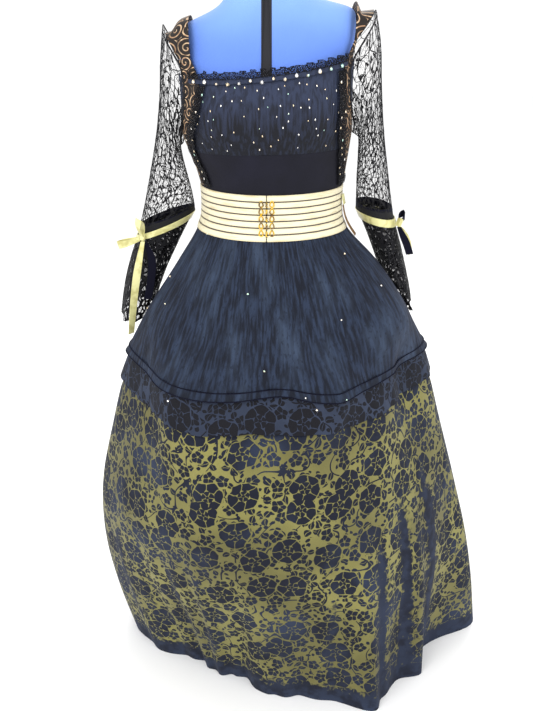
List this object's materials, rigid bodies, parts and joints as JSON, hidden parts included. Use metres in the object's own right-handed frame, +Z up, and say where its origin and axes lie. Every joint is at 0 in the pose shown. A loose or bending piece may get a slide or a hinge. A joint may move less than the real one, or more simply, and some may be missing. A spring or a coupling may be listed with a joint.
{
  "type": "period costume dress on dress form",
  "caption": "Period costume dress with gathered bust, laced-look belt, tiered lace and velvet skirts and a lace-sleeved shrug, standing on a limbless dress form.",
  "frame": {"origin": "centre of the underside of the stand's base, on the floor", "axes": "+Z up, the dress faces -Y, +X is the wearer's left"},
  "size_m": [0.8506, 0.5801, 1.4684],
  "materials": {
    "form_cloth": "matt cotton jersey",
    "stand_black": "satin black paint",
    "pole_steel": "brushed",
    "navy_gathered": "sheer gathered over black",
    "black_cloth": "plain matt",
    "black_net": "net ruffle",
    "bronze_mesh": "black mesh with bronze scrolls",
    "black_lace": "open lace",
    "black_velvet": "velvet",
    "cream_satin": "satin",
    "bronze_strip": "woven braid",
    "cream_belt": "stitched tucks",
    "clasp_gold": "polished",
    "navy_lace": "lace over a dark lining",
    "navy_binding": "bound edge",
    "navy_devore": "sheer with velvet flowers",
    "olive_devore": "olive gold with dark velvet flowers"
  },
  "bodies": {
    "root": {"dress_form": "form_cloth", "form_neck_cap": "form_cloth", "stand_base": "stand_black", "stand_pole": "pole_steel", "bust_panel": "navy_gathered", "neck_band": "navy_gathered", "midriff_front": "black_cloth", "bodice_back": "black_cloth", "neck_ruffle": "black_net", "shrug_trim_right": "black_net", "shrug_trim_left": "black_net", "shrug_front_right": "bronze_mesh", "shrug_front_left": "bronze_mesh", "shrug_back": "bronze_mesh", "shrug_yoke_right": "bronze_mesh", "shrug_yoke_left": "bronze_mesh", "sleeve_right_front": "black_lace", "sleeve_right_back": "black_lace", "sleeve_left_front": "black_lace", "sleeve_left_back": "black_lace", "cuff_right": "black_lace", "cuff_left": "black_lace", "velvet_band_right": "black_velvet", "velvet_band_left": "black_velvet", "bow_tail_right_2": "black_velvet", "bow_tail_left_2": "black_velvet", "bow_loop_left_2": "black_velvet", "cream_ribbon_right": "cream_satin", "cream_ribbon_left": "cream_satin", "bow_knot_right": "cream_satin", "bow_knot_left": "cream_satin", "bow_loop_right_1": "cream_satin", "bow_loop_right_2": "cream_satin", "bow_loop_left_1": "cream_satin", "bow_tail_right_1": "cream_satin", "bow_tail_left_1": "cream_satin", "belt_tie_end": "cream_satin", "belt_side_strip": "bronze_strip", "belt_left": "cream_belt", "belt_right": "cream_belt", "belt_clasp_eye_1": "clasp_gold", "belt_clasp_eye_2": "clasp_gold", "belt_clasp_eye_3": "clasp_gold", "belt_clasp_eye_4": "clasp_gold", "belt_clasp_eye_5": "clasp_gold", "belt_clasp_hook_1": "clasp_gold", "belt_clasp_hook_2": "clasp_gold", "belt_clasp_hook_3": "clasp_gold", "belt_clasp_hook_4": "clasp_gold", "belt_clasp_hook_5": "clasp_gold", "overskirt": "navy_lace", "overskirt_binding": "navy_binding", "flounce": "navy_devore", "skirt": "olive_devore"}
  },
  "joints": []
}
